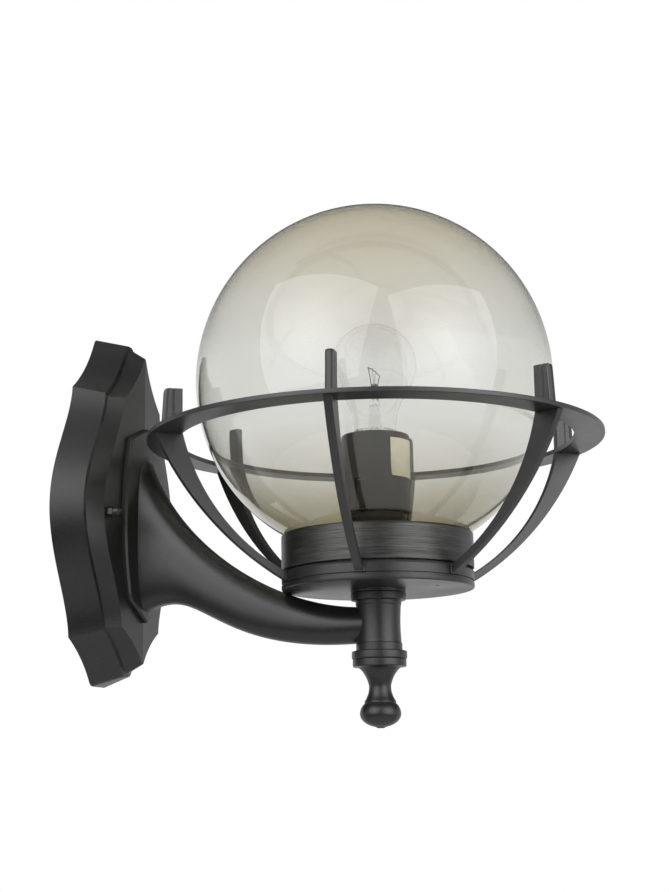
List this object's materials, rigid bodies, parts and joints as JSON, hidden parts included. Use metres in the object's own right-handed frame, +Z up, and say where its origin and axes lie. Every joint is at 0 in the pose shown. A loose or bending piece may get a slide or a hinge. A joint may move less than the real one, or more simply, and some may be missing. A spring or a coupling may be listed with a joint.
{
  "type": "outdoor wall light",
  "caption": "Outdoor wall light: scrolled cast wall plate, trumpet arm, open cage of ribs and prongs round a smoky globe that lifts out of a turned locking collar.",
  "frame": {"origin": "on the wall, at the middle of the mounting bar's slots, at the height where the wall plate is widest", "axes": "+Z up, +Y into the wall, the light stands out along -Y, X along the wall"},
  "size_m": [0.3174, 0.3703, 0.3645],
  "materials": {
    "black_casting": "satin black powder coat over cast aluminium",
    "black_nuts": "black painted steel",
    "zinc_steel": "zinc plated",
    "collar_metal": "dark, turned lines round it",
    "brass": "plain",
    "white_plastic": "matt",
    "black_plastic": "moulded, half gloss",
    "porcelain": "glazed",
    "black_rubber": "matt",
    "label": "blank label",
    "brown_wire": "sleeved wire",
    "blue_wire": "sleeved wire",
    "smoky_plastic": "clear, smoky grey beige acrylic",
    "bulb_glass": "clear thin glass",
    "bulb_cap": "rolled thin sheet",
    "black_glaze": "opaque black glass",
    "solder": "dull solder",
    "filament": "thin wire"
  },
  "bodies": {
    "fixture": {"wall_plate": "black_casting", "mounting_bar": "zinc_steel", "studs": "zinc_steel", "cap_nuts": "black_nuts", "earth_screw": "brass", "terminal_block": "white_plastic", "terminal_screws": "brass", "arm": "black_casting", "arm_screws": "zinc_steel", "lamp_tube": "zinc_steel", "finial": "black_casting", "base_disc": "black_casting", "cage_hub": "black_casting", "cage_rib_1": "black_casting", "cage_rib_2": "black_casting", "cage_rib_3": "black_casting", "cage_rib_4": "black_casting", "cage_rib_5": "black_casting", "cage_rib_6": "black_casting", "cage_ring": "black_casting", "hub_gasket": "black_rubber", "globe_seat": "zinc_steel", "neck_seal": "black_rubber", "tube_washer": "zinc_steel", "tube_nut": "zinc_steel", "holder_body": "black_plastic", "holder_insert": "porcelain", "holder_shell": "brass", "holder_contact": "brass", "holder_sleeve": "black_plastic", "holder_latch": "black_plastic", "holder_label": "label", "wire_live": "brown_wire", "wire_neutral": "blue_wire"},
    "collar": {"collar": "collar_metal"},
    "globe": {"globe": "smoky_plastic"},
    "bulb_carrier": {"bulb_contact": "solder", "bulb_insulator": "black_glaze"},
    "bulb": {"bulb_glass": "bulb_glass", "bulb_cap": "bulb_cap", "bulb_stem": "bulb_glass", "bulb_filament": "filament"}
  },
  "joints": [
    {"name": "collar_turn", "type": "hinge", "parent": "fixture", "child": "collar", "pos_m": [0, -0.2116, 0], "axis": [0, 0, 1], "range_deg": [0, 45]},
    {"name": "globe_lift", "type": "slide", "parent": "fixture", "child": "globe", "axis": [0, 0, 1], "range_m": [0, 0.175]},
    {"name": "bulb_lift", "type": "slide", "parent": "fixture", "child": "bulb_carrier", "axis": [0, 0, 1], "range_m": [0, 0.0254]},
    {"name": "bulb_turn", "type": "hinge", "parent": "bulb_carrier", "child": "bulb", "pos_m": [0, -0.2116, 0], "axis": [0, 0, 1], "range_deg": [0, 2518]}
  ],
  "couplings": [
    {"joint": "bulb_lift", "follows": "bulb_turn", "m_per_rad": 0.0005776}
  ]
}
